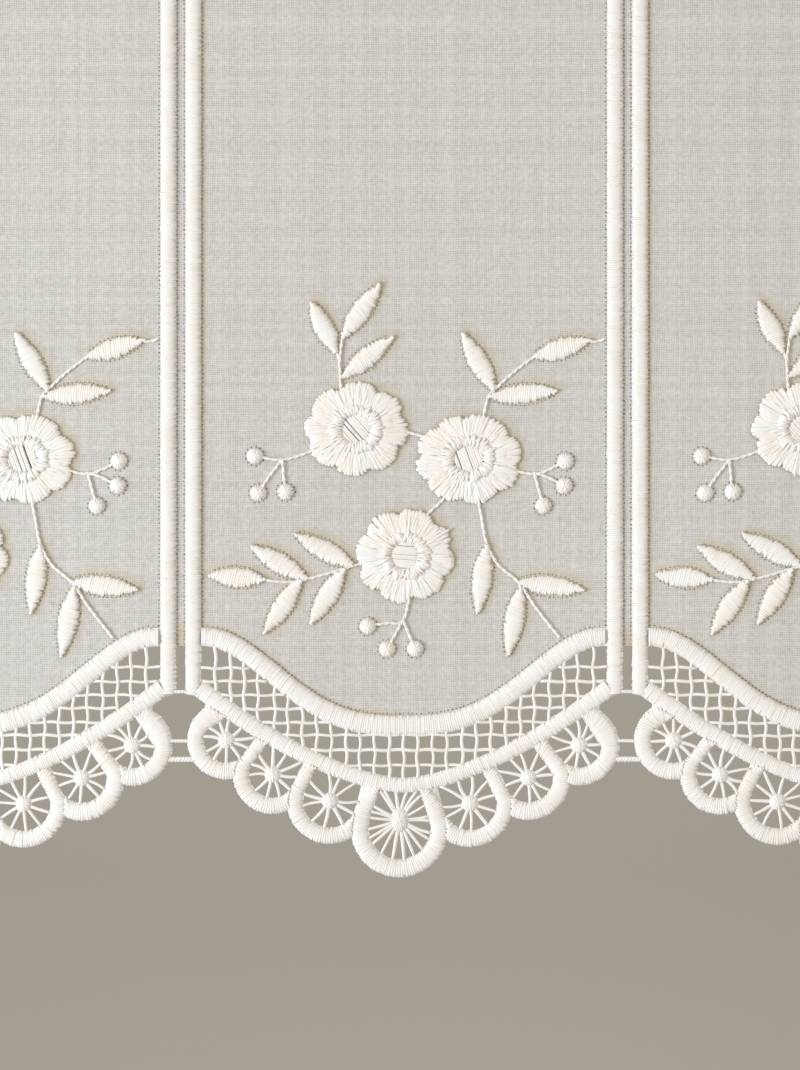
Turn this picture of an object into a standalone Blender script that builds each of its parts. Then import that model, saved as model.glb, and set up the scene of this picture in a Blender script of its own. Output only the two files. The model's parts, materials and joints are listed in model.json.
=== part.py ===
"""Cafe curtain: a sheer voile panel, three repeats wide, with a rod pocket at its top.

Each repeat is framed by two satin-stitched rails and carries a spray of three roses, and
its lower edge is a scallop of cut lace: an upper and a lower satin band with a net between
them, and seven spoked wheels in satin rims underneath.

The panel hangs in the XZ plane, in metres, with +Z up and its front facing -Y. The origin
is the middle of the top edge. Drawn places are in millimetres, as (x, z) from the middle of
a repeat and from the level of the lowest tip. Everything is drawn flat, and bend() then
gives each piece the same shallow waves, so that the pieces keep their distance.
"""

import math

import bmesh
import bpy
from mathutils import Matrix, Vector
from mathutils.geometry import delaunay_2d_cdt

MM = 0.001

# Driving sizes, in millimetres
REPEAT = 162.4
REPEATS = 3
HEIGHT = 450.0
SIDE_HEM = 5.0
GAP = 0.3
CLOTH_THICKNESS = 1.0
LACE_THICKNESS = 1.5

# Rod pocket: a flattened tube of cloth
POCKET_HEIGHT = 30.0
POCKET_DEPTH = 11.0
POCKET_WALL = 1.0
POCKET_SEAM = 5.0
POCKET_POINTS = 10

# Satin rails, measured from the middle of a repeat
RAIL_INNER = 73.9
RAIL_OUTER = 79.4
RAIL_FOOT = 66.8
RAIL_POINTS = 5
SLOT_TOP = 84.3

# Satin bands: (height in the middle, rise at the rails, half width, half width at the rails)
UPPER_BAND = (55.2, 32.4, 3.6, 3.3)
LOWER_BAND = (33.4, 34.2, 2.6, 3.1)
BAND_REACH = 72.7
BAND_POINTS = 16
FOOT_POINTS = 10

# Net between the bands, drawn at twice the pitch of its threads
NET_PITCH_X = 10.84
NET_PITCH_Z = 10.0
NET_THREAD = 1.1
NET_LEVEL = 46.5
NET_LEAST_AREA = 9.0

# Wheels, from the left: x and z of the rim's centre, radius of the opening, radius of the
# rim's outside, the opening's two corners at the band, and the angles its arc runs between
WHEELS = (
    {"x": -64.6, "z": 50.0, "open": 8.3, "rim": 14.1, "corners": (-64.9, -53.8), "arc": (158, 312)},
    {"x": -47.8, "z": 37.6, "open": 8.6, "rim": 14.3, "corners": (-49.7, -36.6), "arc": (158, 318)},
    {"x": -27.0, "z": 27.9, "open": 9.8, "rim": 15.6, "corners": (-32.1, -15.6), "arc": (160, 346)},
    {"x": -1.6, "z": 17.8, "open": 11.4, "rim": 17.8, "corners": (-9.1, 5.8), "arc": (161, 367)},
    {"x": 24.0, "z": 26.8, "open": 9.9, "rim": 15.8, "corners": (12.2, 28.8), "arc": (200, 366)},
    {"x": 45.2, "z": 36.3, "open": 9.2, "rim": 15.4, "corners": (33.7, 47.4), "arc": (222, 368)},
    {"x": 63.6, "z": 48.2, "open": 8.4, "rim": 14.6, "corners": (51.9, 64.9), "arc": (228, 355)},
)
# Height of each hub above its rim's centre, and the number of its spokes
HUB_RISE = (0.0, 0.0, 0.0, 3.0, 0.0, 0.0, 0.0)
SPOKES = (6, 6, 6, 11, 6, 6, 6)
HUB_RADIUS = 3.0
SPOKE_WIDTH = 1.1
RIM_STEP = 20.0
OPEN_STEP = 30.0
# An end rim stops this far under the lower band, which runs on to the rail through these x
RIM_STOP = 1.5
BAND_ENDS = ((-76.0, -72.0), (71.0, 75.5))

# Short bars that tie a scallop to its right-hand neighbour: (level, width)
TIES = ((43.1, 2.2), (49.8, 1.4))
RAIL_TIE = (67.0, 1.4)

# Roses: centre, width and height, petals, and the turn of the first petal in degrees
ROSES = (
    {"x": -17.5, "z": 163.1, "wide": 37.5, "high": 33.5, "petals": 7, "turn": 80},
    {"x": 23.5, "z": 152.3, "wide": 38.5, "high": 32.5, "petals": 8, "turn": 20},
    {"x": 0.3, "z": 117.0, "wide": 35.6, "high": 33.8, "petals": 7, "turn": 95},
)
# A rose's section from its heart to its rim: share of the radius, and height off the cloth
ROSE_SECTION = ((0.0, 1.5), (0.3, 1.5), (0.48, 2.5), (1.1, 0.9))
PETAL_DEPTH = 0.05
STEPS_PER_PETAL = 4

# Leaves: (x, z) of the base and of the tip
LEAVES = (
    ((-24.8, 190.9), (-33.8, 209.6)),
    ((-22.6, 196.4), (-8.5, 216.0)),
    ((-22.6, 182.0), (-3.9, 196.7)),
    ((32.9, 177.4), (21.0, 198.3)),
    ((47.1, 189.5), (68.0, 195.5)),
    ((31.2, 175.0), (55.9, 177.0)),
    ((-18.4, 113.3), (-39.6, 125.0)),
    ((-35.4, 108.5), (-55.7, 120.6)),
    ((-50.6, 108.3), (-71.3, 110.1)),
    ((-37.6, 108.2), (-50.8, 88.8)),
    ((-21.6, 112.4), (-34.3, 92.1)),
    ((30.2, 121.0), (26.7, 96.1)),
    ((41.2, 107.6), (65.7, 104.6)),
    ((42.6, 106.0), (37.7, 80.5)),
)
# Share of the length, and share of the greatest width, from base to tip
LEAF_SHAPE = ((0.0, 0.2), (0.2, 0.75), (0.45, 1.0), (0.7, 0.8), (1.0, 0.12))
LEAF_RIDGE = (0.15, 0.8)
LEAF_HALF_WIDTH = 3.4
LEAF_HEIGHT = 1.5

# Berries: (x, z) of each middle
BERRIES = (
    (-54.3, 153.3),
    (-53.1, 139.8),
    (-43.1, 140.3),
    (58.7, 151.5),
    (58.3, 142.5),
    (50.7, 135.2),
    (-13.2, 91.4),
    (-6.2, 83.1),
    (4.0, 83.2),
)
BERRY_RADIUS = 2.9
BERRY_HEIGHT = 1.9
BERRY_SIDES = 8

# Stems: each a run of (x, z) points
STEMS = (
    ((-22.6, 172.0), (-23.2, 181.0), (-23.6, 188.0), (-24.9, 192.0)),
    ((-23.5, 186.5), (-23.1, 192.0), (-22.0, 198.0)),
    ((-4.0, 162.8), (0.7, 162.1), (7.6, 160.3), (12.0, 158.4)),
    ((16.0, 140.0), (13.7, 137.0), (8.1, 131.6), (6.0, 127.0)),
    ((28.0, 163.0), (30.4, 174.2), (33.0, 177.5), (40.0, 184.0), (48.0, 190.0)),
    ((67.0, 195.2), (70.2, 195.0), (73.3, 196.0)),
    ((-12.0, 115.2), (-20.1, 112.9), (-36.4, 108.3), (-44.0, 107.6), (-52.0, 108.4)),
    ((26.0, 142.0), (28.2, 131.0), (30.0, 121.8), (34.2, 113.9), (41.6, 107.4), (48.0, 98.1), (56.6, 87.2)),
    ((-24.0, 160.2), (-34.0, 155.0), (-44.3, 152.0), (-54.0, 153.3)),
    ((-44.3, 152.0), (-48.6, 146.5), (-53.1, 140.0)),
    ((-44.3, 152.0), (-43.3, 140.5)),
    ((34.0, 149.8), (47.6, 146.9), (58.3, 151.2)),
    ((46.8, 147.2), (52.0, 145.8), (58.0, 142.6)),
    ((47.4, 147.0), (50.5, 135.6)),
    ((2.3, 104.0), (-0.4, 93.4), (-6.0, 92.6), (-13.0, 91.5)),
    ((-0.4, 93.6), (-6.0, 83.4)),
    ((-0.4, 93.6), (3.9, 83.5)),
)
STEM_WIDTH = 1.2
STEM_HEIGHT = 0.9

# Shallow waves of the hanging cloth: nothing at the pocket, most at the lower edge
WAVES = ((1.8, 215.0, 0.6), (1.0, 340.0, 2.1))
SLICE_X = REPEAT / 12
SLICE_Z = 84.0

COLOURS = {
    "voile": ((0.66, 0.64, 0.61, 1.0), 0.85),
    "satin_thread": ((0.89, 0.86, 0.80, 1.0), 0.55),
    "rose_thread": ((0.90, 0.87, 0.82, 1.0), 0.5),
}

HALF_WIDTH = (REPEATS - 1) * REPEAT / 2 + RAIL_OUTER + SIDE_HEM
CENTRES = [(index - (REPEATS - 1) / 2) * REPEAT for index in range(REPEATS)]
POCKET_FOOT = HEIGHT - POCKET_HEIGHT
MERGE = 0.000001
SEAM = 0.05
FLAT_ANGLE = math.radians(0.2)


def clear_scene():
    for obj in list(bpy.data.objects):
        bpy.data.objects.remove(obj, do_unlink=True)


def collection(name):
    made = bpy.data.collections.new(name)
    bpy.context.scene.collection.children.link(made)
    return made


def material(name):
    colour, roughness = COLOURS[name]
    made = bpy.data.materials.get(name) or bpy.data.materials.new(name)
    made.use_nodes = True
    shader = made.node_tree.nodes["Principled BSDF"]
    shader.inputs["Base Color"].default_value = colour
    shader.inputs["Roughness"].default_value = roughness
    shader.inputs["Metallic"].default_value = 0.0
    return made


def solid_from(mesh, name, where, finish):
    """A named object of this mesh, welded, with its faces pointing out."""
    bm = bmesh.new()
    bm.from_mesh(mesh)
    bmesh.ops.remove_doubles(bm, verts=bm.verts, dist=MERGE)
    bmesh.ops.triangulate(bm, faces=bm.faces)
    bmesh.ops.recalc_face_normals(bm, faces=bm.faces)
    bm.to_mesh(mesh)
    bm.free()
    mesh.materials.clear()
    mesh.materials.append(material(finish))
    obj = bpy.data.objects.new(name, mesh)
    where.objects.link(obj)
    return obj


def plate(loops, height_at, ridges=(), joined=False):
    """A plate on the XY plane, whose front rises to height_at(x, y) in millimetres.

    Of plain loops, loops[0] is the outline and the rest are holes. Joined loops may cross,
    and the plate covers all of them. ridges are pairs of places to be joined by an edge.
    The faces are a Delaunay triangulation, so they are even enough to follow the waves.
    """
    loops = [loop if turned_area(loop) > 0 else loop[::-1] for loop in loops]
    places = [place for loop in loops for place in loop]
    starts = [sum(len(loop) for loop in loops[:index]) for index in range(len(loops))]
    rings = [list(range(start, start + len(loop))) for start, loop in zip(starts, loops)]
    edges = [(len(places) + 2 * index, len(places) + 2 * index + 1) for index in range(len(ridges))]
    places += [place for ridge in ridges for place in ridge]
    inputs = [Vector(place) for place in places]
    points, _, triangles, _, _, owners = delaunay_2d_cdt(inputs, edges, rings, 1, SEAM if joined else MERGE)
    bm = bmesh.new()
    corners = [bm.verts.new((point.x * MM, point.y * MM, 0.0)) for point in points]
    for triangle, around in zip(triangles, owners):
        if around == [0] or (joined and around):
            bm.faces.new([corners[index] for index in triangle])
    loose = [vertex for vertex in bm.verts if not vertex.link_faces]
    bmesh.ops.delete(bm, geom=loose, context="VERTS")
    pulled = bmesh.ops.extrude_face_region(bm, geom=bm.faces[:], use_keep_orig=True)["geom"]
    for item in pulled:
        if isinstance(item, bmesh.types.BMVert):
            item.co.z = height_at(item.co.x / MM, item.co.y / MM) * MM
    bmesh.ops.recalc_face_normals(bm, faces=bm.faces)
    mesh = bpy.data.meshes.new("plate")
    bm.to_mesh(mesh)
    bm.free()
    return mesh


def stand_up(mesh, back):
    """Turns a plate upright with its back at y = back, and hangs it from the origin."""
    hung = Matrix.Translation((0, back * MM, -HEIGHT * MM))
    mesh.transform(hung @ Matrix.Rotation(math.radians(90), 4, "X"))


def wave(x, z):
    """How far the hanging cloth lies behind the flat drawing, at a place in metres."""
    hang = max(0.0, -z / MM - POCKET_HEIGHT) / (HEIGHT - POCKET_HEIGHT)
    return hang * sum(
        height * math.sin(2 * math.pi * x / MM / length + start) for height, length, start in WAVES
    )


def bend(mesh):
    for vertex in mesh.vertices:
        vertex.co.y += wave(vertex.co.x, vertex.co.z) * MM


def merge_flat_faces(mesh):
    bm = bmesh.new()
    bm.from_mesh(mesh)
    bmesh.ops.remove_doubles(bm, verts=bm.verts, dist=MERGE)
    bmesh.ops.dissolve_limit(bm, angle_limit=FLAT_ANGLE, verts=bm.verts, edges=bm.edges)
    bm.to_mesh(mesh)
    bm.free()


def slice_mesh(mesh, axis, step, low, high):
    """Adds edges across a mesh, so that it can follow the waves."""
    bm = bmesh.new()
    bm.from_mesh(mesh)
    bmesh.ops.remove_doubles(bm, verts=bm.verts, dist=MERGE)
    normal = Vector((1, 0, 0)) if axis == "X" else Vector((0, 0, 1))
    for count in range(1, math.ceil((high - low) / step)):
        bmesh.ops.bisect_plane(
            bm,
            geom=bm.verts[:] + bm.edges[:] + bm.faces[:],
            plane_co=normal * (low + count * step) * MM,
            plane_no=normal,
        )
    bm.to_mesh(mesh)
    bm.free()


def spaced(start, end, count):
    return [start + (end - start) * step / count for step in range(count + 1)]


def arc(x, z, radius, start, end, step):
    """Points along a circle, from one angle to another, in degrees."""
    count = max(1, round(abs(end - start) / step))
    return [
        (x + radius * math.cos(math.radians(turn)), z + radius * math.sin(math.radians(turn)))
        for turn in spaced(start, end, count)
    ]


def upper_line(x):
    level, rise, _, _ = UPPER_BAND
    share = min(1.0, abs(x) / BAND_REACH)
    return level + rise * (1 - math.cos(math.pi * share**1.4)) / 2


def lower_line(x):
    level, rise, _, _ = LOWER_BAND
    return level + rise * (abs(x) / BAND_REACH) ** 1.6


def band_edge(line, band, x, side):
    """Height of a band's upper (side 1) or lower (side -1) edge, half its width off its line."""
    slope = line(x + 0.5) - line(x - 0.5)
    _, _, middle, end = band
    half = middle + (end - middle) * min(1.0, abs(x) / BAND_REACH)
    return line(x) + side * half * math.hypot(1.0, slope)


def upper_edge(x, side):
    return band_edge(upper_line, UPPER_BAND, x, side)


def lower_edge(x, side):
    return band_edge(lower_line, LOWER_BAND, x, side)


def cusp(left, right):
    """Where the outsides of two neighbouring rims meet below."""
    apart = math.hypot(right["x"] - left["x"], right["z"] - left["z"])
    along = (apart**2 + left["rim"] ** 2 - right["rim"] ** 2) / (2 * apart)
    down = math.sqrt(left["rim"] ** 2 - along**2)
    across = ((right["x"] - left["x"]) / apart, (right["z"] - left["z"]) / apart)
    return (
        left["x"] + along * across[0] + down * across[1],
        left["z"] + along * across[1] - down * across[0],
    )


def angle_to(wheel, point):
    return math.degrees(math.atan2(point[1] - wheel["z"], point[0] - wheel["x"]))


def rim_to_band(wheel, start, turn):
    """The outside of an end wheel's rim, from its cusp up to the lower band's lower edge."""
    points = []
    angle = start
    while True:
        x, z = arc(wheel["x"], wheel["z"], wheel["rim"], angle, angle, 1)[0]
        if z > lower_edge(x, -1) - RIM_STOP:
            return points
        points.append((x, z))
        angle += turn


def with_ties(points, reach):
    """Runs the right-hand end rim out into its tie bars, as far as x = reach."""
    tied = []
    for before, after in zip(points, points[1:]):
        tied.append(before)
        for level, width in TIES:
            if before[1] < level <= after[1]:
                share = (level - before[1]) / (after[1] - before[1])
                root = before[0] + share * (after[0] - before[0])
                low, high = level - width / 2, level + width / 2
                tied += [(root, low), (reach, low), (reach, high), (root, high)]
    return tied + points[-1:]


def scallop_outline(tied):
    """The lace of one repeat as one loop, from the foot of the left rail and back to it."""
    first, last = WHEELS[0], WHEELS[-1]
    cusps = [cusp(left, right) for left, right in zip(WHEELS, WHEELS[1:])]
    left_rim = rim_to_band(first, angle_to(first, cusps[0]), -RIM_STEP)[::-1]
    right_rim = rim_to_band(last, angle_to(last, cusps[-1]), RIM_STEP)
    if tied:
        right_rim = with_ties(right_rim, REPEAT - abs(first["x"]) - first["rim"] - GAP)
    loop = [(-RAIL_OUTER, RAIL_FOOT)]
    for x in BAND_ENDS[0]:
        loop.append((x, lower_edge(x, -1)))
    loop += left_rim
    for wheel, start, end in zip(WHEELS[1:-1], cusps, cusps[1:]):
        turn = arc(
            wheel["x"], wheel["z"], wheel["rim"], angle_to(wheel, start), angle_to(wheel, end), RIM_STEP
        )
        loop += turn[1:-1] + [end]
    loop += right_rim[1:]
    for x in BAND_ENDS[1]:
        loop.append((x, lower_edge(x, -1)))
    loop.append((RAIL_OUTER, RAIL_FOOT))
    if tied:
        level, width = RAIL_TIE
        reach = REPEAT - RAIL_OUTER - GAP
        loop += [(reach, level), (reach, level + width), (RAIL_OUTER, level + width)]
    rail_top = POCKET_FOOT - GAP
    loop += [(RAIL_OUTER, z) for z in spaced(SLOT_TOP, rail_top, RAIL_POINTS)]
    loop += [(RAIL_INNER, z) for z in spaced(rail_top, upper_edge(BAND_REACH, 1), RAIL_POINTS)]
    loop += [(x, upper_edge(x, 1)) for x in spaced(BAND_REACH, -BAND_REACH, BAND_POINTS)[1:-1]]
    loop += [(-RAIL_INNER, z) for z in spaced(upper_edge(BAND_REACH, 1), rail_top, RAIL_POINTS)]
    loop += [(-RAIL_OUTER, z) for z in spaced(rail_top, SLOT_TOP, RAIL_POINTS)]
    return loop


def clipped(polygon, level, side):
    """The part of a polygon above (side 1) or below (side -1) a level."""
    kept = []
    for start, end in zip(polygon, polygon[1:] + polygon[:1]):
        above_start = side * (start[1] - level)
        above_end = side * (end[1] - level)
        if above_start >= 0:
            kept.append(start)
        if above_start * above_end < 0:
            share = above_start / (above_start - above_end)
            kept.append((start[0] + share * (end[0] - start[0]), level))
    return kept


def turned_area(polygon):
    """Its area, above zero if it runs anticlockwise."""
    return sum(a[0] * b[1] - b[0] * a[1] for a, b in zip(polygon, polygon[1:] + polygon[:1])) / 2


def net_cells():
    """The openings of the net: its columns between the two bands, parted at each level."""
    cells = []
    columns = round(2 * RAIL_INNER / NET_PITCH_X)
    edges = spaced(-RAIL_INNER, RAIL_INNER, columns)
    for left, right in zip(edges, edges[1:]):
        left += 0.0 if left == edges[0] else NET_THREAD / 2
        right -= 0.0 if right == edges[-1] else NET_THREAD / 2
        middle = (left + right) / 2
        column = [(x, lower_edge(x, 1)) for x in (left, middle, right)]
        column += [(x, upper_edge(x, -1)) for x in (right, middle, left)]
        for level in range(-1, 4):
            low = NET_LEVEL + level * NET_PITCH_Z
            cell = clipped(column, low + NET_THREAD / 2, 1)
            cell = clipped(cell, low + NET_PITCH_Z - NET_THREAD / 2, -1) if cell else cell
            if len(cell) > 2 and abs(turned_area(cell)) > NET_LEAST_AREA:
                cells.append(cell)
    return cells


def wheel_opening(wheel):
    """The opening of one wheel: two corners at the band, straight sides and an arc below."""
    left, right = ((x, lower_edge(x, -1)) for x in wheel["corners"])
    return [right, left] + arc(wheel["x"], wheel["z"], wheel["open"], *wheel["arc"], OPEN_STEP)


def ray_end(hub, turn, polygon):
    """How far the opening's edge is from the hub in one direction."""
    along = (math.cos(turn), math.sin(turn))
    for start, end in zip(polygon, polygon[1:] + polygon[:1]):
        side = (end[0] - start[0], end[1] - start[1])
        spread = along[0] * side[1] - along[1] * side[0]
        if abs(spread) < 1e-9:
            continue
        from_hub = (start[0] - hub[0], start[1] - hub[1])
        far = (from_hub[0] * side[1] - from_hub[1] * side[0]) / spread
        share = (from_hub[0] * along[1] - from_hub[1] * along[0]) / spread
        if far > 0 and -1e-9 <= share <= 1 + 1e-9:
            return far
    raise ValueError("the hub lies outside its opening")


def polar(centre, turn, far):
    return (centre[0] + far * math.cos(turn), centre[1] + far * math.sin(turn))


def wheel_gaps(wheel, hub_rise, spokes):
    """The openings between one wheel's spokes."""
    hub = (wheel["x"], wheel["z"] + hub_rise)
    edge = wheel_opening(wheel)
    full = 2 * math.pi
    step = full / spokes
    gaps = []
    for index in range(spokes):
        start = math.radians(90) + index * step
        end = start + step
        near = math.asin(SPOKE_WIDTH / 2 / HUB_RADIUS)
        if step < 4 * near:
            gap = [polar(hub, start + step / 2, HUB_RADIUS * 1.3)]
        else:
            gap = [polar(hub, turn, HUB_RADIUS) for turn in (end - near, start + step / 2, start + near)]
        far = ray_end(hub, start, edge)
        first = start + math.asin(SPOKE_WIDTH / 2 / far)
        far = ray_end(hub, end, edge)
        final = end - math.asin(SPOKE_WIDTH / 2 / far)
        gap.append(polar(hub, first, ray_end(hub, first, edge)))
        between = []
        for point in edge:
            turn = math.atan2(point[1] - hub[1], point[0] - hub[0])
            turn += full * math.ceil((first - turn) / full)
            if turn < final:
                between.append((turn, point))
        gap += [point for _, point in sorted(between)]
        gap.append(polar(hub, final, ray_end(hub, final, edge)))
        gaps.append(gap)
    return gaps


def make_lace(where):
    """The satin rails and bands, net and wheels of each repeat, in front of the cloth."""
    holes = net_cells()
    for wheel, hub_rise, spokes in zip(WHEELS, HUB_RISE, SPOKES):
        holes += wheel_gaps(wheel, hub_rise, spokes)
    for index, centre in enumerate(CENTRES):
        outline = scallop_outline(index < REPEATS - 1)
        mesh = plate([outline] + holes, lambda x, z: LACE_THICKNESS)
        stand_up(mesh, -GAP)
        mesh.transform(Matrix.Translation((centre * MM, 0, 0)))
        bend(mesh)
        solid_from(mesh, f"lace_border_{index + 1}", where, "satin_thread")


def cloth_foot():
    """The lower edge of the cloth, from left to right: the middle of the upper band."""
    points = [(-HALF_WIDTH, SLOT_TOP)]
    for centre in CENTRES:
        points.append((centre - RAIL_INNER - 2.0, SLOT_TOP))
        for x in spaced(-BAND_REACH, BAND_REACH, FOOT_POINTS):
            points.append((centre + x, upper_line(x)))
        points.append((centre + RAIL_INNER + 2.0, SLOT_TOP))
    return points + [(HALF_WIDTH, SLOT_TOP)]


def make_cloth(where):
    top = POCKET_FOOT - GAP
    outline = cloth_foot() + [(HALF_WIDTH, top), (-HALF_WIDTH, top)]
    mesh = plate([outline], lambda x, z: CLOTH_THICKNESS)
    stand_up(mesh, CLOTH_THICKNESS)
    merge_flat_faces(mesh)
    slice_mesh(mesh, "X", SLICE_X, -HALF_WIDTH, HALF_WIDTH)
    slice_mesh(mesh, "Z", SLICE_Z, -HEIGHT, -POCKET_HEIGHT)
    bend(mesh)
    solid_from(mesh, "voile_panel", where, "voile")


def pocket_loop(inset):
    """Section of the rod pocket, as (depth, height): round at the top, pinched at its seam."""
    half = POCKET_DEPTH / 2 - inset
    top = POCKET_HEIGHT - half - inset
    foot = POCKET_SEAM + inset
    waist = POCKET_WALL - inset * 0.85
    loop = arc(0.0, top, half, 0, 180, 180 / POCKET_POINTS)
    for share in (0.25, 0.5, 0.75):
        swell = waist + (half - waist) * math.cos(share * math.pi / 2)
        loop.append((-swell, top + (foot - top) * share))
    if inset:
        loop.append((0.0, foot))
    else:
        loop += [(-waist, foot), (-waist, 0.0), (waist, 0.0), (waist, foot)]
    for share in (0.75, 0.5, 0.25):
        swell = waist + (half - waist) * math.cos(share * math.pi / 2)
        loop.append((swell, top + (foot - top) * share))
    return loop


def make_pocket(where):
    mesh = plate([pocket_loop(0.0), pocket_loop(POCKET_WALL)], lambda x, z: 2 * HALF_WIDTH)
    turn = Matrix.Rotation(math.radians(90), 4, "Z") @ Matrix.Rotation(math.radians(90), 4, "X")
    shift = Matrix.Translation((-HALF_WIDTH * MM, CLOTH_THICKNESS / 2 * MM, -POCKET_HEIGHT * MM))
    mesh.transform(shift @ turn)
    solid_from(mesh, "rod_pocket", where, "voile")


def rose_ring(rose, share, count):
    """One ring of a rose, at a share of its size, with its rim pushed out into petals."""
    ring = []
    for index in range(count):
        turn = 2 * math.pi * index / count
        petals = math.cos(rose["petals"] * (turn - math.radians(rose["turn"])))
        reach = share * (1 + PETAL_DEPTH * share**2 * petals)
        ring.append(
            (
                rose["x"] + reach * rose["wide"] / 2 * math.cos(turn),
                rose["z"] + reach * rose["high"] / 2 * math.sin(turn),
            )
        )
    return ring


def leaf_loop(base, tip):
    """An outline with a pointed tip, widest a little before the middle."""
    along = Vector(tip) - Vector(base)
    across = Vector((-along.y, along.x)).normalized() * LEAF_HALF_WIDTH
    loop = []
    for side, shape in ((1, LEAF_SHAPE), (-1, LEAF_SHAPE[::-1])):
        loop += [tuple(Vector(base) + along * share + across * side * width) for share, width in shape]
    return loop


def stem_loop(run):
    """A thread along a run of points, drawn as one outline."""
    left, right = [], []
    for index, here in enumerate(run):
        before = Vector(run[max(0, index - 1)])
        after = Vector(run[min(len(run) - 1, index + 1)])
        way = (after - before).normalized()
        across = Vector((-way.y, way.x)) * STEM_WIDTH / 2
        left.append(tuple(Vector(here) + across))
        right.append(tuple(Vector(here) - across))
    return left + right[::-1]


def along_table(table, share):
    """Straight-line value between the rows of a (share, value) table."""
    for (before, low), (after, high) in zip(table, table[1:]):
        if share <= after:
            return low + (high - low) * (share - before) / (after - before)
    return None


def stitch_height(x, z):
    """How far the embroidery stands off the cloth, in the roses, leaves and berries."""
    heights = [STEM_HEIGHT]
    for rose in ROSES:
        share = math.hypot((x - rose["x"]) / rose["wide"] * 2, (z - rose["z"]) / rose["high"] * 2)
        heights.append(along_table(ROSE_SECTION, share) or 0.0)
    for base, tip in LEAVES:
        along = Vector(tip) - Vector(base)
        from_base = Vector((x, z)) - Vector(base)
        share = from_base.dot(along) / along.length_squared
        off = (from_base - along * share).length
        if LEAF_RIDGE[0] - 0.01 <= share <= LEAF_RIDGE[1] + 0.01 and off < 0.1:
            heights.append(LEAF_HEIGHT)
    for middle in BERRIES:
        share = math.dist(middle, (x, z)) / BERRY_RADIUS
        heights.append(BERRY_HEIGHT - (BERRY_HEIGHT - STEM_HEIGHT) * share)
    return max(heights)


def spray_mesh():
    """Roses, leaves, berries and stems as one piece of embroidery, off the cloth's front."""
    loops, ridges = [], []
    for rose in ROSES:
        loops.append(rose_ring(rose, 1.0, STEPS_PER_PETAL * rose["petals"]))
        loops += [rose_ring(rose, share, 2 * rose["petals"]) for share, _ in ROSE_SECTION[1:-1]]
    for base, tip in LEAVES:
        loops.append(leaf_loop(base, tip))
        ridges.append([tuple(Vector(base).lerp(Vector(tip), share)) for share in LEAF_RIDGE])
    for x, z in BERRIES:
        loops.append(arc(x, z, BERRY_RADIUS, 0, 360, 360 / BERRY_SIDES)[:-1])
        ridges.append([(x, z), (x + 0.05, z)])
    loops += [stem_loop(run) for run in STEMS]
    mesh = plate(loops, stitch_height, ridges, joined=True)
    stand_up(mesh, -GAP)
    return mesh


def make_sprays(where):
    flat = spray_mesh()
    for index, centre in enumerate(CENTRES):
        mesh = flat.copy()
        mesh.transform(Matrix.Translation((centre * MM, 0, 0)))
        bend(mesh)
        solid_from(mesh, f"rose_spray_{index + 1}", where, "rose_thread")
    bpy.data.meshes.remove(flat)


def main():
    clear_scene()
    curtain = collection("cafe_curtain")
    make_pocket(curtain)
    make_cloth(curtain)
    make_lace(curtain)
    make_sprays(curtain)


main()
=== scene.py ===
"""Looks of the cafe curtain: woven voile, satin stitch, thread net, spoked wheels and roses.

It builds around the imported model, in the same frame: +Z up, front facing -Y, origin at the
middle of the top edge. Drawn places are (x, z, out) in millimetres: x from the middle of a
repeat, z above the lowest tip, and out towards the viewer from the cloth's front.
"""

import json
import math

import bpy
import numpy as np
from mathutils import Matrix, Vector
from mathutils.geometry import delaunay_2d_cdt

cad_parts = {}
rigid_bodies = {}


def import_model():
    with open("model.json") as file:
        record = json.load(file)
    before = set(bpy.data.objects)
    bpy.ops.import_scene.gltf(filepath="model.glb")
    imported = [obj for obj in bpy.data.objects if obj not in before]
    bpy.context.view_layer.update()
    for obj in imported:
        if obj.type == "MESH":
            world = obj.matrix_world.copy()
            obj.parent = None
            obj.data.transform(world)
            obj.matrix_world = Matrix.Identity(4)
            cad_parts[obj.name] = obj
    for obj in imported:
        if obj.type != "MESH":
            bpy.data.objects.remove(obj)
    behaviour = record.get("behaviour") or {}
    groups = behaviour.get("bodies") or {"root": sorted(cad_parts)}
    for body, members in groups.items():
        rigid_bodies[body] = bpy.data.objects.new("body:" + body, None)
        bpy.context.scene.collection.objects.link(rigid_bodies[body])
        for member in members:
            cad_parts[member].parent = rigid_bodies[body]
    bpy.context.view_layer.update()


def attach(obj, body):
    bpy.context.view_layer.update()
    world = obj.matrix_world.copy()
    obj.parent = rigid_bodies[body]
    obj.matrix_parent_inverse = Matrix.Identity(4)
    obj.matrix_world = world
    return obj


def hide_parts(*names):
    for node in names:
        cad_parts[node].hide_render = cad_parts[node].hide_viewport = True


MM = 0.001

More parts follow.
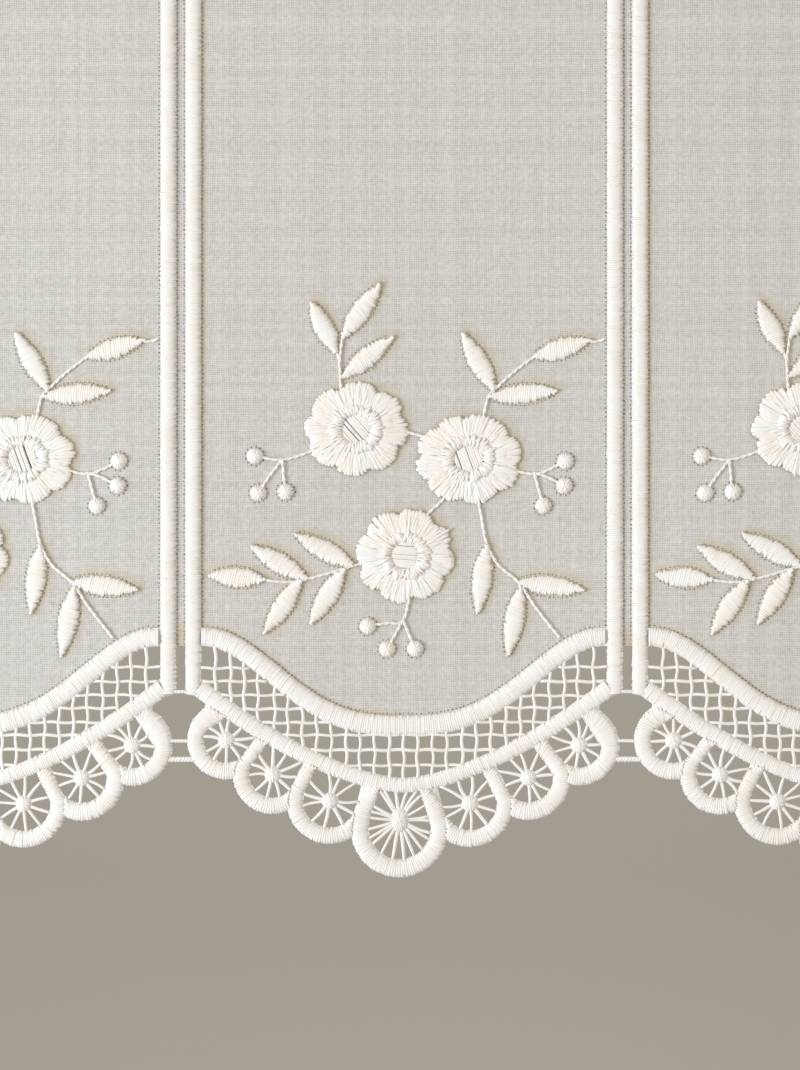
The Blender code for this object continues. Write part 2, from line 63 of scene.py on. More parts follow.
# Sizes shared with the part, in millimetres
REPEAT = 162.4
REPEATS = 3
HEIGHT = 450.0
SIDE_HEM = 5.0
POCKET_HEIGHT = 30.0
POCKET_DEPTH = 11.0
POCKET_SEAM = 5.0
RAIL_INNER = 73.9
RAIL_OUTER = 79.4
RAIL_FOOT = 66.8
SLOT_TOP = 84.3
UPPER_BAND = (55.2, 32.4, 3.6, 3.3)
LOWER_BAND = (33.4, 34.2, 2.6, 3.1)
BAND_REACH = 72.7
RIM_STOP = 1.5
BAND_ENDS = ((-76.0, -72.0), (71.0, 75.5))
WHEELS = (
    {"x": -64.6, "z": 50.0, "open": 8.3, "rim": 14.1, "corners": (-64.9, -53.8), "arc": (158, 312)},
    {"x": -47.8, "z": 37.6, "open": 8.6, "rim": 14.3, "corners": (-49.7, -36.6), "arc": (158, 318)},
    {"x": -27.0, "z": 27.9, "open": 9.8, "rim": 15.6, "corners": (-32.1, -15.6), "arc": (160, 346)},
    {"x": -1.6, "z": 17.8, "open": 11.4, "rim": 17.8, "corners": (-9.1, 5.8), "arc": (161, 367)},
    {"x": 24.0, "z": 26.8, "open": 9.9, "rim": 15.8, "corners": (12.2, 28.8), "arc": (200, 366)},
    {"x": 45.2, "z": 36.3, "open": 9.2, "rim": 15.4, "corners": (33.7, 47.4), "arc": (222, 368)},
    {"x": 63.6, "z": 48.2, "open": 8.4, "rim": 14.6, "corners": (51.9, 64.9), "arc": (228, 355)},
)
HUB_RISE = (0.0, 0.0, 0.0, 3.0, 0.0, 0.0, 0.0)
TIES = ((43.1, 2.2), (49.8, 1.4))
RAIL_TIE = (67.0, 1.4)
# Roses: the middle, the size, the lean of the heart's threads, and the notches between petals
ROSES = (
    {
        "x": -17.5, "z": 163.1, "wide": 37.5, "high": 33.5, "heart": -48,
        "notches": (61, 19, -27, -73, -117, -165, 160, 110),
    },
    {
        "x": 23.5, "z": 152.3, "wide": 38.5, "high": 32.5, "heart": -70,
        "notches": (97, 36, -9, -52, -99, -149, 175, 130),
    },
    {
        "x": 0.3, "z": 117.0, "wide": 35.6, "high": 33.8, "heart": -4,
        "notches": (99, 49, 12, -30, -78, -126, -166, 149),
    },
)
NOTCH_DEPTH = 0.13
NOTCH_TURN = 8.0
# Strands of a rose: share of the length, height off the cloth, share of the width
ROSE_OUTER = (
    (0.0, 0.95, 0.65),
    (0.3, 1.1, 0.75),
    (0.6, 1.05, 0.9),
    (0.86, 0.9, 1.0),
    (0.965, 0.6, 0.9),
    (1.0, 0.2, 0.6),
)
ROSE_UPPER = ((0.0, 1.05, 0.65), (0.3, 1.25, 0.8), (0.6, 1.22, 0.95), (0.9, 1.05, 0.85), (1.0, 0.85, 0.4))
ROSE_RING = ((0.0, 0.7, 0.75), (0.15, 1.5, 0.8), (0.42, 2.1, 0.95), (0.7, 1.85, 1.0), (1.0, 1.0, 0.55))
LEAVES = (
    ((-24.8, 190.9), (-33.8, 209.6)),
    ((-22.6, 196.4), (-8.5, 216.0)),
    ((-22.6, 182.0), (-3.9, 196.7)),
    ((32.9, 177.4), (21.0, 198.3)),
    ((47.1, 189.5), (68.0, 195.5)),
    ((31.2, 175.0), (55.9, 177.0)),
    ((-18.4, 113.3), (-39.6, 125.0)),
    ((-35.4, 108.5), (-55.7, 120.6)),
    ((-50.6, 108.3), (-71.3, 110.1)),
    ((-37.6, 108.2), (-50.8, 88.8)),
    ((-21.6, 112.4), (-34.3, 92.1)),
    ((30.2, 121.0), (26.7, 96.1)),
    ((41.2, 107.6), (65.7, 104.6)),
    ((42.6, 106.0), (37.7, 80.5)),
)
LEAF_SHAPE = ((0.0, 0.16), (0.12, 0.5), (0.3, 0.9), (0.5, 1.0), (0.7, 0.82), (0.87, 0.45), (1.0, 0.1))
LEAF_HALF_WIDTH = 3.5
BERRIES = (
    (-54.3, 153.3),
    (-53.1, 139.8),
    (-43.1, 140.3),
    (58.7, 151.5),
    (58.3, 142.5),
    (50.7, 135.2),
    (-13.2, 91.4),
    (-6.2, 83.1),
    (4.0, 83.2),
)
BERRY_RADIUS = 2.95
STEMS = (
    ((-22.6, 172.0), (-23.2, 181.0), (-23.6, 188.0), (-24.9, 192.0)),
    ((-23.5, 186.5), (-23.1, 192.0), (-22.0, 198.0)),
    ((-4.0, 162.8), (0.7, 162.1), (7.6, 160.3), (12.0, 158.4)),
    ((16.0, 140.0), (13.7, 137.0), (8.1, 131.6), (6.0, 127.0)),
    ((28.0, 163.0), (30.4, 174.2), (33.0, 177.5), (40.0, 184.0), (48.0, 190.0)),
    ((67.0, 195.2), (70.2, 195.0), (73.3, 196.0)),
    ((-12.0, 115.2), (-20.1, 112.9), (-36.4, 108.3), (-44.0, 107.6), (-52.0, 108.4)),
    (
        (26.0, 142.0), (28.2, 131.0), (30.0, 121.8), (34.2, 113.9),
        (41.6, 107.4), (48.0, 98.1), (56.6, 87.2),
    ),
    ((-24.0, 160.2), (-34.0, 155.0), (-44.3, 152.0), (-54.0, 153.3)),
    ((-44.3, 152.0), (-48.6, 146.5), (-53.1, 140.0)),
    ((-44.3, 152.0), (-43.3, 140.5)),
    ((34.0, 149.8), (47.6, 146.9), (58.3, 151.2)),
    ((46.8, 147.2), (52.0, 145.8), (58.0, 142.6)),
    ((47.4, 147.0), (50.5, 135.6)),
    ((2.3, 104.0), (-0.4, 93.4), (-6.0, 92.6), (-13.0, 91.5)),
    ((-0.4, 93.6), (-6.0, 83.4)),
    ((-0.4, 93.6), (3.9, 83.5)),
)
WAVES = ((1.8, 215.0, 0.6), (1.0, 340.0, 2.1))

HALF_WIDTH = (REPEATS - 1) * REPEAT / 2 + RAIL_OUTER + SIDE_HEM
CENTRES = [(index - (REPEATS - 1) / 2) * REPEAT for index in range(REPEATS)]
POCKET_FOOT = HEIGHT - POCKET_HEIGHT

# Satin stitches and the strands of roses, in millimetres
STITCH_PITCH = 0.82
STITCH_WIDTH = 1.14
STITCH_RELIEF = 0.2
STRAND_RELIEF = 0.2
STITCH_SHARES = (0.0, 0.07, 0.24, 0.5, 0.76, 0.93, 1.0)
LEAF_PITCH = 0.82
SATIN_HEIGHT = 1.3
BACK_HEIGHT = 0.45
STITCH_FOOT = -0.12
UNDERLAY_FRONT = 0.4
UNDERLAY_BACK = -0.1
# How far a rim runs on under its neighbour, in degrees and in millimetres
JOINT_TURN = 40.0
JOINT_OVERLAP = 0.8
# Threads of the net, and the spokes of each wheel
NET_PITCH = 5.279
NET_LEVELS = (76.5, 71.3, 66.3, 61.5, 56.4, 51.8, 46.5, 40.9)
NET_WIDTH = 1.14
SPOKES = (11, 11, 11, 22, 11, 11, 11)
SPOKE_WIDTH = 1.2
# Needle holes: spacing, size, distance from the stitches, and depth
HOLE_PITCH = 1.55
HOLE_RADIUS = 0.28
HOLE_GAP = 0.6
HOLE_FRONT = -0.17
HOLE_BACK = -0.3
# The sheet: its depth behind the front, its steps across and up, and where its weave starts
SHEET_DEPTH = 0.25
SHEET_STEP = 2.0
SHEET_ROWS = 170
WEAVE_START = 50.0
# Voile: slubs for each millimetre of yarn, the colours of its yarns, and painted shade in the gaps between
# them
SLUB_SCALE = 0.5
VOILE_DULL = (0.565, 0.556, 0.55, 1.0)
VOILE_PALE = (0.752, 0.74, 0.732, 1.0)
VOILE_GAP_SHADE = (0.46, 0.45, 0.44, 1.0)
# Shade beside raised stitches: how far aside it lies, how wide it fades, how much of that is
# lost where light falls on the band, where it starts at rails and roses, and its tint
SHADE_ASIDE = (1.4, 0.8)
SHADE_REACH = 2.6
SHADE_LOST = 1.4
SHADE_RAIL = RAIL_INNER - 0.4
SHADE_ROSE = 0.96
SHADE_TINT = (0.92, 0.85, 0.68, 1.0)
# Running stitches of the seams
RUN_PITCH = 3.1
RUN_LENGTH = 2.3
RUN_WIDTH = 0.42


class Work:
    """Gathers faces in drawn places, and makes one mesh object of them."""

    def __init__(self, seed):
        self.random = np.random.default_rng(seed)
        self.points, self.tones, self.faces = [], [], []
        self.count = 0

    def add(self, points, faces, tones):
        self.points.append(points)
        self.tones.append(np.broadcast_to(tones, len(points)))
        self.faces += (np.asarray(faces) + self.count).tolist()
        self.count += len(points)

    def object(self, name, centre, material):
        drawn = np.concatenate(self.points)
        x = drawn[:, 0] + centre
        z = drawn[:, 1] - HEIGHT
        y = wave(x, z) - drawn[:, 2]
        mesh = bpy.data.meshes.new(name)
        mesh.from_pydata((np.stack([x, y, z], 1) * MM).tolist(), [], self.faces)
        mesh.polygons.foreach_set("use_smooth", [True] * len(mesh.polygons))
        tone = mesh.attributes.new("tone", "FLOAT", "POINT")
        tone.data.foreach_set("value", np.concatenate(self.tones).astype(np.float32))
        mesh.materials.append(material)
        made = bpy.data.objects.new(name, mesh)
        bpy.context.scene.collection.objects.link(made)
        return made


def wave(x, z):
    """How far the hanging cloth lies behind the flat drawing. x and z are from the origin."""
    hang = np.maximum(0.0, -z - POCKET_HEIGHT) / (HEIGHT - POCKET_HEIGHT)
    return hang * sum(height * np.sin(2 * np.pi * x / length + start) for height, length, start in WAVES)


def thread(work, paths, widths, heights, round_section=False):
    """Closed threads along paths, an array (threads, places, 3). Flat underneath unless round."""
    count, places, _ = paths.shape
    along = np.gradient(paths[:, :, :2], axis=1)
    along = along / (np.linalg.norm(along, axis=2, keepdims=True) + 1e-9)
    across = np.stack([-along[..., 1], along[..., 0]], -1)
    if round_section:
        turns = np.arange(6) * np.pi / 3
        rise = 0.5
    else:
        turns = np.linspace(0, np.pi, 4)
        rise = 1.0
    sides = len(turns)
    widths = np.broadcast_to(widths, (count, places))[..., None, None]
    heights = np.broadcast_to(heights, (count, places))[..., None]
    points = np.empty((count, places, sides, 3))
    points[..., :2] = paths[:, :, None, :2] + across[:, :, None, :] * np.cos(turns)[:, None] * widths / 2
    points[..., 2] = paths[:, :, None, 2] + np.sin(turns) * heights * rise
    ring = np.arange(sides)
    step = np.arange(places - 1)[:, None] * sides
    here, beside = step + ring, step + (ring + 1) % sides
    skin = np.stack([here, beside, beside + sides, here + sides], -1).reshape(-1, 4)
    last = (places - 1) * sides
    caps = [[3, 2, 1, 0], [last, last + 1, last + 2, last + 3]]
    if round_section:
        caps += [[0, 5, 4, 3], [last, last + 3, last + 4, last + 5]]
    one = np.concatenate([skin, caps])
    faces = (one[None] + (np.arange(count) * places * sides)[:, None, None]).reshape(-1, 4)
    tones = np.repeat(work.random.random(count), places * sides)
    work.add(points.reshape(-1, 3), faces, tones)


def satin(
    work, left, right, height=SATIN_HEIGHT, width=STITCH_WIDTH, side=1, ragged=0.15, fan=0.0
):
    """One stitch from each left place to its right place, arched over the underlay.

    It is wider towards its right end by the share fan.
    """
    left, right = np.asarray(left, float), np.asarray(right, float)
    way = right - left
    length = np.linalg.norm(way, axis=1, keepdims=True)
    unit = way / length
    random = work.random
    extra = np.clip(random.normal(0, ragged, (2, len(left), 1)), -2 * ragged, 1.6 * ragged) + 0.05
    left = left - unit * extra[0]
    right = right + unit * extra[1]
    shares = np.array(STITCH_SHARES)
    paths = np.empty((len(left), len(shares), 3))
    paths[..., :2] = left[:, None] + (right - left)[:, None] * shares[None, :, None]
    arch = (1 - np.abs(2 * shares - 1) ** 3) ** 0.5
    foot = STITCH_FOOT if side > 0 else 0.0
    lift = (height * random.normal(1, 0.03, (len(left), 1)) - foot) * arch + foot
    paths[..., 2] = lift * side
    widths = width * (0.78 + 0.22 * arch) * (1 + fan * (shares - 0.5))
    widths = widths * random.uniform(0.9, 1.12, (len(left), 1))
    thread(work, paths, widths, STITCH_RELIEF * side)


def upper_line(x):
    level, rise, _, _ = UPPER_BAND
    share = min(1.0, abs(x) / BAND_REACH)
    return level + rise * (1 - math.cos(math.pi * share**1.4)) / 2


def lower_line(x):
    level, rise, _, _ = LOWER_BAND
    return level + rise * (abs(x) / BAND_REACH) ** 1.6


def half_band(line, band, x):
    """(slope of the band's line, half its width)."""
    _, _, middle, end = band
    slope = line(x + 0.5) - line(x - 0.5)
    return slope, middle + (end - middle) * min(1.0, abs(x) / BAND_REACH)


def band_edge(line, band, x, side):
    slope, half = half_band(line, band, x)
    return line(x) + side * half * math.hypot(1.0, slope)


def upper_edge(x, side):
    return band_edge(upper_line, UPPER_BAND, x, side)


def lower_edge(x, side):
    return band_edge(lower_line, LOWER_BAND, x, side)


def spaced(start, end, step):
    count = max(1, round(abs(end - start) / step))
    return [start + (end - start) * index / count for index in range(count + 1)]


def arc(wheel, radius, start, end, step):
    """Points along a circle round a wheel's middle, between two angles in degrees."""
    return [
        (
            wheel["x"] + radius * math.cos(math.radians(turn)),
            wheel["z"] + radius * math.sin(math.radians(turn)),
        )
        for turn in spaced(start, end, step)
    ]


def angle_to(wheel, point):
    return math.degrees(math.atan2(point[1] - wheel["z"], point[0] - wheel["x"]))


def cusp(left, right):
    """Where the outsides of two neighbouring rims meet below."""
    apart = math.hypot(right["x"] - left["x"], right["z"] - left["z"])
    along = (apart**2 + left["rim"] ** 2 - right["rim"] ** 2) / (2 * apart)
    down = math.sqrt(left["rim"] ** 2 - along**2)
    across = ((right["x"] - left["x"]) / apart, (right["z"] - left["z"]) / apart)
    return (
        left["x"] + along * across[0] + down * across[1],
        left["z"] + along * across[1] - down * across[0],
    )


def corners(wheel):
    """(place, angle) of the opening's left and right corner at the band."""
    left, right = ((x, lower_edge(x, -1)) for x in wheel["corners"])
    return (left, angle_to(wheel, left) % 360), (right, angle_to(wheel, right) + 360)


def wheel_opening(wheel):
    """The opening of one wheel: two corners at the band, straight sides and an arc below."""
    left, right = wheel["corners"]
    top = [(x, lower_edge(x, -1)) for x in spaced(right, left, 2)]
    return top + arc(wheel, wheel["open"], *wheel["arc"], 6)


def rim_to_band(wheel, start, turn):
    points = []
    angle = start
    while True:
        x, z = arc(wheel, wheel["rim"], angle, angle, 1)[0]
        if z > lower_edge(x, -1) - RIM_STOP:
            return points
        points.append((x, z))
        angle += turn


def satin_outline():
    """The outline of the satin of one repeat, without its ties."""
    first, last = WHEELS[0], WHEELS[-1]
    cusps = [cusp(left, right) for left, right in zip(WHEELS, WHEELS[1:])]
    loop = [(-RAIL_OUTER, RAIL_FOOT)]
    loop += [(x, lower_edge(x, -1)) for x in BAND_ENDS[0]]
    loop += rim_to_band(first, angle_to(first, cusps[0]), -6.0)[::-1]
    for wheel, start, end in zip(WHEELS[1:-1], cusps, cusps[1:]):
        loop += arc(wheel, wheel["rim"], angle_to(wheel, start), angle_to(wheel, end), 6)[1:]
    loop += rim_to_band(last, angle_to(last, cusps[-1]), 6.0)[1:]
    loop += [(x, lower_edge(x, -1)) for x in BAND_ENDS[1]]
    loop.append((RAIL_OUTER, RAIL_FOOT))
    rail_top = POCKET_FOOT - 0.3
    loop += [(RAIL_OUTER, z) for z in spaced(SLOT_TOP, rail_top, 12)]
    loop += [(RAIL_INNER, z) for z in spaced(rail_top, upper_edge(BAND_REACH, 1), 12)]
    loop += [(x, upper_edge(x, 1)) for x in spaced(BAND_REACH, -BAND_REACH, 3)[1:-1]]
    loop += [(-RAIL_INNER, z) for z in spaced(upper_edge(BAND_REACH, 1), rail_top, 12)]
    loop += [(-RAIL_OUTER, z) for z in spaced(rail_top, SLOT_TOP, 12)]
    return loop


def net_outline():
    """The space between the two bands."""
    below = [(x, lower_edge(x, 1)) for x in spaced(-RAIL_INNER, RAIL_INNER, 3)]
    above = [(x, upper_edge(x, -1)) for x in spaced(RAIL_INNER, -RAIL_INNER, 3)]
    return below + above


def turned_area(polygon):
    return sum(a[0] * b[1] - b[0] * a[1] for a, b in zip(polygon, polygon[1:] + polygon[:1])) / 2


def crossing(origin, turn, polygon):
    """How far a ray from the origin goes before it crosses the polygon's edge."""
    start = np.array(polygon)
    side = np.roll(start, -1, 0) - start
    along = (math.cos(turn), math.sin(turn))
    spread = along[0] * side[:, 1] - along[1] * side[:, 0]
    spread = np.where(np.abs(spread) < 1e-9, 1e-9, spread)
    off = start - origin
    far = (off[:, 0] * side[:, 1] - off[:, 1] * side[:, 0]) / spread
    share = (off[:, 0] * along[1] - off[:, 1] * along[0]) / spread
    hits = far[(far > 0) & (share >= -1e-9) & (share <= 1 + 1e-9)]
    return hits.min() if len(hits) else math.inf


def plate(work, loops, front, back, tone=0.35):
    """A flat plate between two depths: loops[0] is the outline and the rest are holes."""
    loops = [loop if turned_area(loop) > 0 else loop[::-1] for loop in loops]
    rings, places = [], []
    for loop in loops:
        rings.append(list(range(len(places), len(places) + len(loop))))
        places += [Vector(place) for place in loop]
    points, _, found, _, _, owners = delaunay_2d_cdt(places, [], rings, 1, 1e-6)
    flat = np.array([tuple(point) for point in points])
    kept = np.array([face for face, around in zip(found, owners) if around == [0]])
    a, b, c = (flat[kept[:, index]] for index in range(3))
    turned = (b[:, 0] - a[:, 0]) * (c[:, 1] - a[:, 1]) - (b[:, 1] - a[:, 1]) * (c[:, 0] - a[:, 0])
    kept[turned < 0] = kept[turned < 0][:, ::-1]
    used, kept = np.unique(kept, return_inverse=True)
    flat, kept = flat[used], kept.reshape(-1, 3)
    number = len(flat)
    edges = {(int(f[i]), int(f[(i + 1) % 3])) for f in kept for i in range(3)}
    rim = [edge for edge in edges if edge[::-1] not in edges]
    for level, faces in ((front, kept), (back, kept[:, ::-1])):
        points = np.column_stack([flat, np.full(number, level)])
        work.add(points, faces, tone)
    first = work.count - 2 * number
    work.faces += [[first + p, first + p + number, first + q + number, first + q] for p, q in sorted(rim)]


def rows_along(line, band, ends, step):
    """The two edges of a band where each stitch goes, square to its line."""
    xs = np.linspace(ends[0], ends[1], 600)
    middles = np.array([(x, line(x)) for x in xs])
    run = np.concatenate([[0], np.cumsum(np.linalg.norm(np.diff(middles, axis=0), axis=1))])
    places = np.interp(np.arange(step / 2, run[-1], step), run, xs)
    below, above = [], []
    for x in places:
        slope, half = half_band(line, band, x)
        square = np.array([-slope, 1.0]) / math.hypot(1.0, slope) * half
        middle = np.array([x, line(x)])
        below.append(middle - square)
        above.append(middle + square)
    return np.array(below), np.array(above)


def rim_rows(index, openings, under_band):
    """The inner and outer end of each stitch round one wheel."""
    wheel = WHEELS[index]
    middle = (wheel["x"], wheel["z"])
    (_, start), (_, end) = corners(wheel)
    centre = len(WHEELS) // 2
    beside = []
    if index < centre:
        end = angle_to(wheel, cusp(wheel, WHEELS[index + 1])) % 360 + JOINT_TURN
        beside.append(arc(WHEELS[index + 1], WHEELS[index + 1]["rim"] - JOINT_OVERLAP, 90, 450, 6))
    if index > centre:
        start = angle_to(wheel, cusp(WHEELS[index - 1], wheel)) % 360 - JOINT_TURN
        beside.append(arc(WHEELS[index - 1], WHEELS[index - 1]["rim"] - JOINT_OVERLAP, 90, 450, 6))
    if 0 < index <= centre:
        beside.append(openings[index - 1])
    if centre <= index < len(WHEELS) - 1:
        beside.append(openings[index + 1])
    step = math.degrees(STITCH_PITCH / (wheel["open"] + wheel["rim"]) * 2)
    inner, outer = [], []
    for turn in spaced(start, end, step):
        turn = math.radians(turn)
        near = crossing(middle, turn, openings[index])
        far = min(wheel["rim"], crossing(middle, turn, under_band) + 0.9)
        far = min([far] + [crossing(middle, turn, opening) for opening in beside])
        if far - near > 0.7:
            way = np.array([math.cos(turn), math.sin(turn)])
            inner.append(np.array(middle) + way * near)
            outer.append(np.array(middle) + way * far)
    return np.array(inner), np.array(outer)


def resampled(runs, step):
    """Smooth curves through runs of places, cut into even steps."""
    made = []
    for run in runs:
        run = np.asarray(run, float)
        padded = np.concatenate([[2 * run[0] - run[1]], run, [2 * run[-1] - run[-2]]])
        curve = []
        for a, b, c, d in zip(padded, padded[1:], padded[2:], padded[3:]):
            square, cube = 2 * a - 5 * b + 4 * c - d, 3 * b - a - 3 * c + d
            for t in np.arange(12) / 12:
                curve.append(0.5 * (2 * b + (c - a) * t + square * t**2 + cube * t**3))
        curve = np.array(curve + [run[-1]])
        length = np.concatenate([[0], np.cumsum(np.linalg.norm(np.diff(curve, axis=0), axis=1))])
        even = np.linspace(0, length[-1], max(4, round(length[-1] / step)))
        made.append(np.stack([np.interp(even, length, curve[:, k]) for k in range(curve.shape[1])], 1))
    return made


def net_threads(work):
    """Wavy threads between the bands, upright ones and level ones."""
    random = work.random
    reach = math.floor(RAIL_INNER / NET_PITCH)
    for index in range(-reach, reach + 1):
        x = index * NET_PITCH + random.normal(0, 0.2)
        low, high = lower_edge(x, 1) - 0.9, upper_edge(x, -1) + 0.9
        z = np.array(spaced(low, high, 1.3))
        swing = 0.3 * np.sin(z * 2 * np.pi / 10.4 + index * np.pi + random.normal(0, 0.5))
        over = 0.42 + 0.26 * np.sin(z * np.pi / 5.2 + index * np.pi)
        path = np.stack([x + swing, z, over], 1)
        thread(work, path[None], NET_WIDTH * random.uniform(0.9, 1.1), 0.7, round_section=True)
    for level in NET_LEVELS:
        xs = np.array(spaced(-RAIL_INNER - 0.5, RAIL_INNER + 0.5, 1.3))
        inside = np.array([lower_edge(x, 1) - 0.7 < level < upper_edge(x, -1) + 0.7 for x in xs])
        for part in np.split(np.arange(len(xs)), np.flatnonzero(np.diff(inside.astype(int))) + 1):
            if not inside[part[0]] or len(part) < 3:
                continue
            x = xs[part]
            swing = 0.2 * np.sin(x * 2 * np.pi / (2 * NET_PITCH) + level) + random.normal(0, 0.15)
            over = 0.42 - 0.26 * np.cos(x * np.pi / NET_PITCH + level)
            path = np.stack([x, level + swing, over], 1)
            thread(work, path[None], NET_WIDTH * random.uniform(0.9, 1.1), 0.7, round_section=True)


def knot(work, x, z, radius, height, strands, width=0.95, base=0.1, tall=1.0, side=1):
    """A domed button of threads laid across each other through its middle."""
    random = work.random
    turns = np.pi * (np.arange(strands) * 0.381966 % 1.0) + random.normal(0, 0.06, strands)
    shares = np.linspace(-1, 1, 7)
    reach = radius * random.uniform(0.95, 1.05, strands)
    order = np.arange(strands) / strands
    paths = np.empty((strands, len(shares), 3))
    paths[..., 0] = x + np.cos(turns)[:, None] * shares * reach[:, None]
    paths[..., 1] = z + np.sin(turns)[:, None] * shares * reach[:, None] * tall
    dome = np.sqrt(np.maximum(0.0, 1 - np.abs(shares) ** 2.4))
    paths[..., 2] = base + side * dome * (height * (0.55 + 0.45 * order))[:, None]
    thread(work, paths, width * (0.55 + 0.45 * dome), 0.4 * side)


def wheel_threads(work, index, opening):
    """The spokes and the knotted hub of one wheel."""
    wheel = WHEELS[index]
    random = work.random
    hub = (wheel["x"], wheel["z"] + HUB_RISE[index])
    count = SPOKES[index]
    shares = np.linspace(0, 1, 6)
    offset = random.uniform(0, 2 * np.pi / count)
    for spoke in range(count):
        turn = 2 * math.pi * spoke / count + offset + random.normal(0, 0.05)
        far = crossing(hub, turn, opening) + 0.9
        way = np.array([math.cos(turn), math.sin(turn)])
        side = np.array([-way[1], way[0]])
        bow = random.normal(0, 0.35) * np.sin(np.pi * shares) + random.normal(0, 0.25) * shares
        flat = np.array(hub) + way * (1.2 + (far - 1.2) * shares)[:, None] + side * bow[:, None]
        path = np.column_stack([flat, np.full(len(shares), 0.35)])
        widths = SPOKE_WIDTH * random.uniform(0.85, 1.1) * (1.12 - 0.25 * shares)
        thread(work, path[None], widths[None], 0.7, round_section=True)
    radius, tall = (3.2, 1.35) if HUB_RISE[index] else (2.95, 1.0)
    knot(work, *hub, radius, 0.95, 26, 1.15, 0.3, tall)
    knot(work, *hub, radius, 0.5, 20, 1.15, 0.2, tall, side=-1)


def lace(seed, tied):
    """The satin rails, bands and rims, the net and the wheels of one repeat."""
    work = Work(seed)
    openings = [wheel_opening(wheel) for wheel in WHEELS]
    band_points = [(x, lower_edge(x, -1)) for x in spaced(-RAIL_OUTER, RAIL_OUTER, 2)]
    under_band = band_points + [(RAIL_OUTER, HEIGHT), (-RAIL_OUTER, HEIGHT)]
    plate(work, [satin_outline(), net_outline()] + openings, UNDERLAY_FRONT, UNDERLAY_BACK)
    rail = np.arange(RAIL_FOOT + 0.4, POCKET_FOOT - 0.4, STITCH_PITCH)
    for side in (-1, 1):
        near = np.stack([np.full(len(rail), side * RAIL_INNER), rail], 1)
        far = np.stack([np.full(len(rail), side * RAIL_OUTER), rail + 0.25], 1)
        satin(work, near, far)
    for index in range(len(WHEELS)):
        inner, outer = rim_rows(index, openings, under_band)
        satin(work, inner, outer, fan=0.3)
        satin(work, inner, outer, side=-1, height=BACK_HEIGHT, fan=0.3)
    for line, band, reach in ((lower_line, LOWER_BAND, 74.5), (upper_line, UPPER_BAND, 73.5)):
        below, above = rows_along(line, band, (-reach, reach), STITCH_PITCH)
        satin(work, below, above)
        satin(work, below, above, side=-1, height=BACK_HEIGHT)
    net_threads(work)
    for index, opening in enumerate(openings):
        wheel_threads(work, index, opening)
    if tied:
        ties(work)
    return work


def ties(work):
    """Short wrapped bars to the next repeat."""
    last, first = WHEELS[-1], WHEELS[0]
    bars = []
    for level, width in TIES:
        start = last["x"] + math.sqrt(last["rim"] ** 2 - (level - last["z"]) ** 2)
        end = REPEAT + first["x"] - math.sqrt(first["rim"] ** 2 - (level - first["z"]) ** 2)
        bars.append((start - 0.6, end + 0.6, level, width))
    level, width = RAIL_TIE
    bars.append((RAIL_OUTER - 0.6, REPEAT - RAIL_OUTER + 0.6, level + width / 2, width))
    for start, end, level, width in bars:
        x = np.array(spaced(start, end, 0.6))
        for turn in (0.0, math.pi):
            z = level + width * 0.22 * np.sin(x * 2.6 + turn)
            out = 0.45 + 0.2 * np.cos(x * 2.6 + turn)
            thread(work, np.stack([x, z, out], 1)[None], width * 0.62, 0.8, round_section=True)


def rose_reach(rose, turn, share=1.0):
    """The place on a rose's rim in one direction, at a share of the way out."""
    off = [np.abs((np.degrees(turn) - notch + 180) % 360 - 180) for notch in rose["notches"]]
    off = np.min(off, axis=0)
    lobe = 1.035 - NOTCH_DEPTH * np.exp(-((off / NOTCH_TURN) ** 1.3))
    reach = share * (1 + (lobe - 1) * np.minimum(1.0, share) ** 2)
    return np.stack(
        [
            rose["x"] + reach * rose["wide"] / 2 * np.cos(turn),
            rose["z"] + reach * rose["high"] / 2 * np.sin(turn),
        ],
        -1,
    )


def radial(work, rose, count, near, far, heights, width, spread=0.014):
    """A round of strands from near to far, with (share, height, share of the width) along each."""
    random = work.random
    turns = (np.arange(count) + random.uniform(-0.16, 0.16, count)) * 2 * np.pi / count
    shares, heights, wide = np.array(heights).T
    start = near + random.normal(0, 0.015, count)
    end = far + random.normal(0, spread, count)
    lean = random.normal(0, 0.01, count)
    paths = np.empty((count, len(shares), 3))
    for index in range(count):
        reach = start[index] + (end[index] - start[index]) * shares
        turn = turns[index] + lean[index] * shares
        paths[index, :, :2] = rose_reach(rose, turn, reach)
    paths[..., 2] = heights * random.uniform(0.92, 1.08, (count, 1))
    thread(work, paths, width * wide * random.uniform(0.85, 1.15, (count, 1)), STRAND_RELIEF)


def rose_threads(work, rose):
    """One rose: two rounds of outer strands, a raised ring and its open heart."""
    random = work.random
    turns = np.linspace(0, 2 * np.pi, 72, endpoint=False)
    outline = [tuple(place) for place in rose_reach(rose, turns, 0.92)]
    hole = [tuple(place) for place in rose_reach(rose, turns, 0.33)]
    plate(work, [outline, hole], 0.8, 0.0)
    radial(work, rose, 110, 0.42, 0.985, ROSE_OUTER, 1.5)
    radial(work, rose, 100, 0.40, 0.82, ROSE_UPPER, 1.25, 0.08)
    radial(work, rose, 84, 0.28, 0.55, ROSE_RING, 1.1, 0.035)
    lean = math.radians(rose["heart"])
    along = np.array([math.cos(lean), math.sin(lean)])
    across = np.array([-along[1], along[0]])
    radius = 0.31 * rose["high"] / 2
    shares = np.linspace(-1, 1, 6)
    for offset in np.arange(-radius + 0.3, radius, 0.8):
        offset += random.normal(0, 0.17)
        half = math.sqrt(max(0.3, radius**2 - offset**2)) + 0.7
        flat = np.array([rose["x"], rose["z"]]) + across * offset + along * (shares * half)[:, None]
        path = np.column_stack([flat, 0.6 + 0.45 * (1 - shares**2)])
        thread(work, path[None], random.uniform(0.9, 1.15), 0.3)


